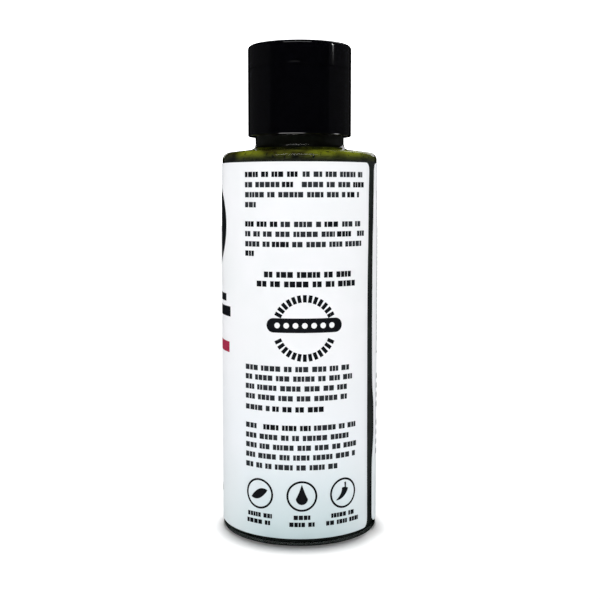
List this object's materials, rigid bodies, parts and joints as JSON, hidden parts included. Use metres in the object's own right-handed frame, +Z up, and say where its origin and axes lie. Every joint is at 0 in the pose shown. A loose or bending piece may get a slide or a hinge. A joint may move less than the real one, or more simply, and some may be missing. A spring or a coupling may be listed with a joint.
{
  "type": "hot sauce bottle",
  "caption": "Clear round sauce bottle with a flat shoulder, full of thick green sauce, shut by a flip-top cap and wrapped in a plain printed label.",
  "frame": {"origin": "centre of the base, on the surface that the bottle stands on", "axes": "+Z up along the bottle's axis; the middle of the label's ingredients panel faces -Y"},
  "size_m": [0.0492, 0.0492, 0.1511],
  "materials": {
    "clear_bottle": "clear, glossy and smooth",
    "sauce": "thick, wet and mottled olive green",
    "cap": "polished black",
    "label": "smooth coated white with dark print"
  },
  "bodies": {
    "root": {"bottle": "clear_bottle", "sauce": "sauce", "cap": "cap", "label": "label"}
  },
  "joints": []
}
